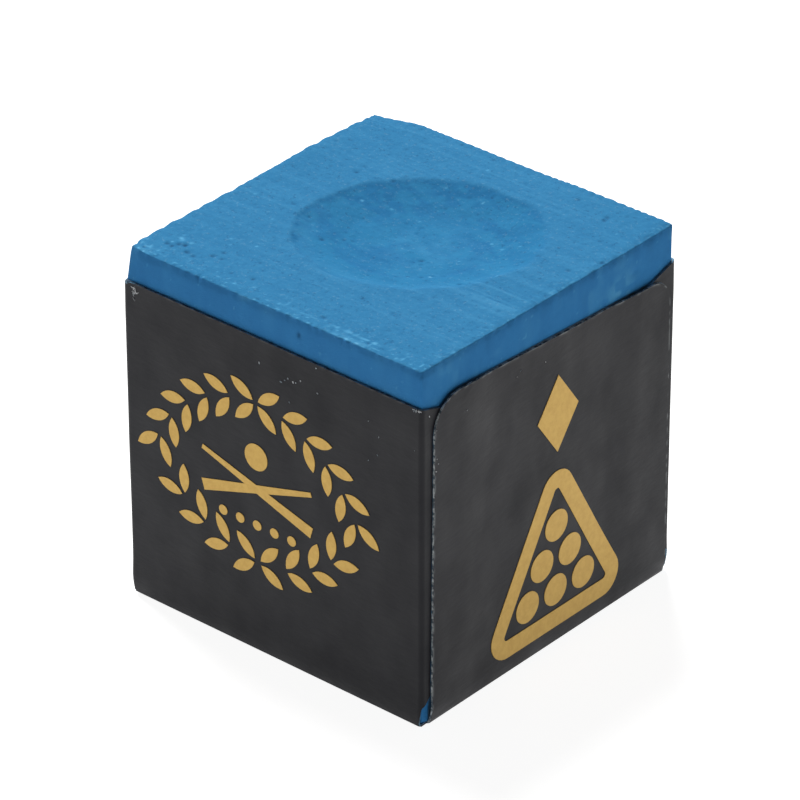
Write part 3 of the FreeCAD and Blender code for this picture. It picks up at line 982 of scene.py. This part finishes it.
def chalk_material():
    """Pressed blue powder: a sawn, dusty top over smoother pressed sides, with painted light on the
    sides and a painted sheen on the top.
    """
    shader = Shader("pressed_chalk")
    shader.set(Roughness=0.95, Specular_IOR_Level=0.1)
    mottle = shader.ramp(shader.noise((2.1, 2.1, 2.1), 6.0, 0.78), 0.38, 0.62)
    clouds = shader.ramp(shader.noise((0.3, 0.42, 0.4), 3.0), 0.35, 0.65)
    top_tone_with_sheen = shader.mix(mottle, TOP_BLUE_PAINTED_SHEEN, TOP_DEEP_PAINTED_SHEEN, 0.55)
    top_tone_with_sheen = shader.mix(clouds, top_tone_with_sheen, TOP_DEEP_PAINTED_SHEEN, 0.15)
    top_tone_with_sheen = shader.mix(shader.attribute("hollow"), top_tone_with_sheen, HOLLOW_BLUE, 0.7)
    # pressed chalk, and painted shade on the hollow's far wall and rim
    top_tone_with_sheen = shader.mix(shader.attribute("pressed"), top_tone_with_sheen, PRESSED_AND_SHADE_BLUE)
    crumbs = shader.ramp(shader.noise((5.0, 5.0, 5.0), 3.0, 0.6), 0.58, 0.72)
    top_tone_with_sheen = shader.mix(crumbs, top_tone_with_sheen, CHALK_SPECK, 0.11)
    # painted shade in small pores
    pore_shade = shader.ramp(shader.noise((4.4, 4.4, 4.4), 3.0, 0.6), 0.40, 0.28)
    top_tone_with_sheen = shader.mix(pore_shade, top_tone_with_sheen, PIT_SHADE_BLUE, 0.5)
    drawn = shader.ramp(shader.noise((0.8, 0.8, 0.35), 4.0, 0.55), 0.33, 0.67)
    lit_side_tone = shader.mix(drawn, SIDE_BLUE_PAINTED_LIGHT, SIDE_DEEP_PAINTED_LIGHT, 0.6)
    lit_side_tone = shader.mix(mottle, lit_side_tone, SIDE_DEEP_PAINTED_LIGHT, 0.3)
    # painted light: the lit side colour and the top colour with its painted sheen are swapped by
    # which way the surface faces
    upward = shader.ramp(shader.facing_up(), 0.35, 0.85)
    colour = shader.mix(upward, lit_side_tone, top_tone_with_sheen)
    # above nothing the dust value paints chalk dust and painted highlights; below nothing it paints
    # shade in pits and saw grooves
    dust = shader.attribute("dust")
    colour = shader.mix(shader.ramp(dust, 0.0, 0.5), colour, POWDER_AND_HIGHLIGHT_BLUE)
    colour = shader.mix(shader.ramp(dust, 0.4, 1.6), colour, CHALK_SPECK)
    colour = shader.mix(shader.ramp(dust, 0.0, -1.2), colour, PIT_SHADE_BLUE)
    shader.paint(colour)
    shader.bump(shader.noise((4.5, 6.0, 4.5), 6.0, 0.75), 0.06, 0.7)
    return shader.material


LABEL_WORN = (0.16, 0.175, 0.18)
EDGE_PALE = (0.50, 0.54, 0.55)
EDGE_DARK = (0.07, 0.09, 0.11)
EDGE_CHALKY = (0.13, 0.28, 0.40)


def label_material(name, dark, dusty):
    """Coated charcoal paper, mottled with rubbed-in dust."""
    shader = Shader(name)
    shader.set(Specular_IOR_Level=0.19)
    clouds = shader.ramp(shader.noise((0.15, 0.15, 0.12), 4.0, 0.55), 0.36, 0.68)
    colour = shader.mix(clouds, dark, dusty)
    fine = shader.ramp(shader.noise((1.3, 1.3, 0.9), 4.0, 0.6), 0.35, 0.7)
    colour = shader.mix(fine, colour, dusty, 0.25)
    colour = shader.mix(shader.attribute("worn"), colour, LABEL_WORN)
    shader.paint(colour)
    rough = shader.ramp(shader.noise((0.45, 0.45, 0.3), 4.0), 0.3, 0.7, 0.40, 0.56)
    shader.join(rough, shader.surface.inputs["Roughness"])
    shader.bump(shader.noise((0.9, 0.9, 2.6), 4.0, 0.6), 0.05, 0.4)
    return shader.material


def cut_edge_material(name, core, low, high):
    """Cut edge of the paper, where its core shows in places."""
    shader = Shader(name)
    shader.set(Roughness=0.9, Specular_IOR_Level=0.2)
    patches = shader.ramp(shader.noise((3.4, 3.4, 3.4), 3.0, 0.7), low, high)
    colour = shader.mix(patches, EDGE_DARK, core)
    shader.paint(colour)
    return shader.material


# dark and dusty
WIDE_PAPER = ((0.0052, 0.0054, 0.0085), (0.0100, 0.0103, 0.0138))
# the narrow flaps' paper is made lighter than the wide flaps', as painted sheen on those faces
NARROW_PAPER_PAINTED_SHEEN = ((0.0085, 0.0087, 0.0115), (0.0190, 0.0190, 0.0225))
GOLD = (0.60, 0.380, 0.082)
GOLD_DEEP = (0.54, 0.33, 0.064)


def gold_material():
    """Satin gold foil with a fine grain."""
    shader = Shader("gold_foil")
    shader.set(Metallic=0.35, Roughness=0.5)
    grain = shader.ramp(shader.noise((3.0, 3.0, 3.0), 3.0, 0.6), 0.35, 0.65)
    colour = shader.mix(grain, GOLD, GOLD_DEEP)
    shader.paint(colour)
    shader.bump(shader.noise((4.0, 4.0, 4.0), 2.0), 0.02, 0.25)
    return shader.material


def adhesive_material():
    """Clear glue gone milky, with chalk dust in it."""
    shader = Shader("adhesive")
    shader.set(Roughness=0.5)
    dust = shader.ramp(shader.noise((1.5, 1.5, 1.5), 3.0), 0.4, 0.6)
    colour = shader.mix(dust, (0.03, 0.07, 0.11), (0.03, 0.12, 0.24))
    shader.paint(colour)
    return shader.material


def floor_material():
    """White table lit from below, which leaves hardly any shadow."""
    shader = Shader("floor_white")
    shader.set(Roughness=0.8, Specular_IOR_Level=0.0)
    shader.set(Emission_Color=(1.0, 1.0, 1.0, 1.0), Emission_Strength=0.92)
    tone = shader.ramp(shader.noise((0.01, 0.01, 0.01)), 0.0, 1.0)
    colour = shader.mix(tone, (0.34, 0.34, 0.34), (0.36, 0.36, 0.36))
    shader.paint(colour)
    return shader.material


def fleck_material():
    """White and pale blue crumbs of dust and paper fibre."""
    shader = Shader("fleck_dust")
    shader.set(Roughness=1.0, Specular_IOR_Level=0.1)
    tone = shader.ramp(shader.noise((1.4, 1.4, 1.4), 2.0), 0.4, 0.6)
    colour = shader.mix(tone, (0.20, 0.24, 0.27), (0.55, 0.56, 0.57))
    shader.paint(colour)
    return shader.material


# ---- dust and fibres

# side, count, middle (s, z), spread (s, z), half length range, half width range
FLECK_GROUPS = (
    ("front", 10, (2.2, 19.0), (2.0, 0.7), (0.05, 0.11), (0.04, 0.07)),
    ("front", 5, (7.6, 17.2), (2.0, 1.1), (0.03, 0.07), (0.02, 0.03)),
    ("front", 14, (-10.2, 20.45), (0.08, 0.2), (0.08, 0.22), (0.02, 0.03)),
    ("front", 9, (10.75, 20.72), (0.22, 0.06), (0.06, 0.13), (0.02, 0.03)),
    ("right", 4, (-9.9, 17.6), (0.15, 1.6), (0.03, 0.07), (0.02, 0.03)),
    ("right", 5, (-5.0, 19.9), (3.0, 0.6), (0.03, 0.07), (0.02, 0.04)),
    ("back", 6, (0.0, 18.0), (5.0, 1.5), (0.03, 0.08), (0.02, 0.04)),
    ("left", 6, (0.0, 18.0), (5.0, 1.5), (0.03, 0.08), (0.02, 0.04)),
)
FLECK_THICKNESS = 0.03
FLECK_TOP_Z = 20.7            # no fleck sits higher than this


def fleck_shape():
    """Points and faces of a ball one unit in radius."""
    shape = bmesh.new()
    bmesh.ops.create_icosphere(shape, subdivisions=1, radius=1.0)
    points, faces = points_and_faces(shape)
    shape.free()
    return points, faces


def dust_flecks(material):
    """Crumbs and torn fibres that cling to the label."""
    random = np.random.default_rng(71)
    ball, ball_faces = fleck_shape()
    points, faces = [], []
    for side, count, middle, spread, lengths, widths in FLECK_GROUPS:
        for _ in range(count):
            s, z = np.array(middle) + random.normal(0, 1, 2) * np.array(spread)
            z = min(z, FLECK_TOP_Z)
            turn = random.uniform(0, math.pi)
            crumb = ball * (1 + 0.25 * random.normal(0, 1, (len(ball), 1)))
            along = crumb[:, 0] * random.uniform(*lengths)
            across = crumb[:, 1] * random.uniform(*widths)
            place_s = s + along * math.cos(turn) - across * math.sin(turn)
            place_z = z + along * math.sin(turn) + across * math.cos(turn)
            lift = label_lift(side, place_s, place_z) + crumb[:, 2] * FLECK_THICKNESS
            faces.append(ball_faces + len(ball) * len(points))
            points.append(turned(on_side(place_s, length_up(place_z), lift), SIDE_TURN[side]))
    all_faces = np.concatenate(faces).tolist()
    piece = new_piece("dust_flecks", np.concatenate(points), all_faces, [material])
    return piece


# ---- stage

CAMERA_AZIMUTH = 40.77        # degrees round from the front
CAMERA_ELEVATION = 30.65
CAMERA_ROLL = -0.09
CAMERA_DISTANCE = 315.4
CAMERA_TARGET = (-0.821, 0.906, 11.527)
CAMERA_LENS = 246.3
KEY_DIRECTION = (240, 58)     # azimuth and elevation in degrees
KEY_DISTANCE = 1.0            # metres
KEY_SIZE = 0.42
KEY_POWER = 15.6
WORLD_STRENGTH = 0.10
FLOOR_DROP = 0.05             # keeps the floor clear of the base panel
FLOOR_R = 3.0                 # metres


def direction_from(azimuth, elevation):
    """Unit vector from the object towards an azimuth and elevation in degrees."""
    a, e = math.radians(azimuth), math.radians(elevation)
    return Vector((math.sin(a) * math.cos(e), -math.cos(a) * math.cos(e), math.sin(e)))


def add_camera():
    data = bpy.data.cameras.new("camera")
    data.lens = CAMERA_LENS
    data.clip_start = 0.01
    data.clip_end = 20
    camera = bpy.data.objects.new("camera", data)
    bpy.context.scene.collection.objects.link(camera)
    back = direction_from(CAMERA_AZIMUTH, CAMERA_ELEVATION)
    camera.location = (Vector(CAMERA_TARGET) + back * CAMERA_DISTANCE) * MM
    camera.rotation_mode = "QUATERNION"
    level = (-back).to_track_quat("-Z", "Y")
    roll = Matrix.Rotation(math.radians(CAMERA_ROLL), 3, "Z").to_quaternion()
    camera.rotation_quaternion = level @ roll
    bpy.context.scene.camera = camera


def add_key_light():
    data = bpy.data.lights.new("key_overhead", "AREA")
    data.shape = "DISK"
    data.size = KEY_SIZE
    data.energy = KEY_POWER
    light = bpy.data.objects.new("key_overhead", data)
    back = direction_from(*KEY_DIRECTION)
    light.location = back * KEY_DISTANCE
    light.rotation_mode = "QUATERNION"
    light.rotation_quaternion = (-back).to_track_quat("-Z", "Y")
    bpy.context.scene.collection.objects.link(light)


def add_floor(material):
    mesh = bpy.data.meshes.new("floor")
    shape = bmesh.new()
    bmesh.ops.create_circle(shape, cap_ends=True, segments=64, radius=FLOOR_R)
    shape.to_mesh(mesh)
    shape.free()
    mesh.materials.append(material)
    floor = bpy.data.objects.new("floor", mesh)
    floor.location.z = -FLOOR_DROP * MM
    bpy.context.scene.collection.objects.link(floor)


def add_stage():
    add_camera()
    add_floor(floor_material())
    add_key_light()
    world = bpy.data.worlds.new("studio")
    world.use_nodes = True
    background = world.node_tree.nodes["Background"]
    background.inputs["Color"].default_value = (1, 1, 1, 1)
    background.inputs["Strength"].default_value = WORLD_STRENGTH
    bpy.context.scene.world = world
    bpy.context.scene.view_settings.view_transform = "Standard"


# ---- build


def build_label():
    wide = label_material("label_wide", *WIDE_PAPER)
    # lighter copy of the label paper: painted sheen
    narrow = label_material("label_narrow_painted_sheen", *NARROW_PAPER_PAINTED_SHEEN)
    wide_edge = cut_edge_material("cut_edge_wide", EDGE_CHALKY, 0.42, 0.58)
    narrow_edge = cut_edge_material("cut_edge_narrow", EDGE_PALE, 0.44, 0.60)
    flaps = {
        "front": wide_flap("front", FRONT_TOP, (wide, wide_edge)),
        "back": wide_flap("back", BACK_TOP, (wide, wide_edge)),
        "right": narrow_flap("right", RIGHT_TOP, (narrow, narrow_edge)),
        "left": narrow_flap("left", LEFT_TOP, (narrow, narrow_edge)),
    }
    for side, flap in flaps.items():
        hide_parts("label_" + side + "_flap")
        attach(flap, "root")
    repaint("label_base_panel", wide)


def repaint(node, material):
    """Gives a kept CAD node its finished material."""
    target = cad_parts[node]
    for slot in target.material_slots:
        slot.link = "OBJECT"
        slot.material = material


def build_object():
    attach(chalk_block(chalk_material()), "root")
    build_label()
    gold = gold_material()
    for side in ("front", "back"):
        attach(gold_ornament(side, cues_and_leaves(), gold), "root")
    for side in ("right", "left"):
        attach(gold_ornament(side, rack_and_diamond(), gold), "root")
    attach(dust_flecks(fleck_material()), "root")
    glue = adhesive_material()
    for part in ("base", "front", "back", "right", "left"):
        repaint("adhesive_" + part, glue)


build_object()
add_stage()
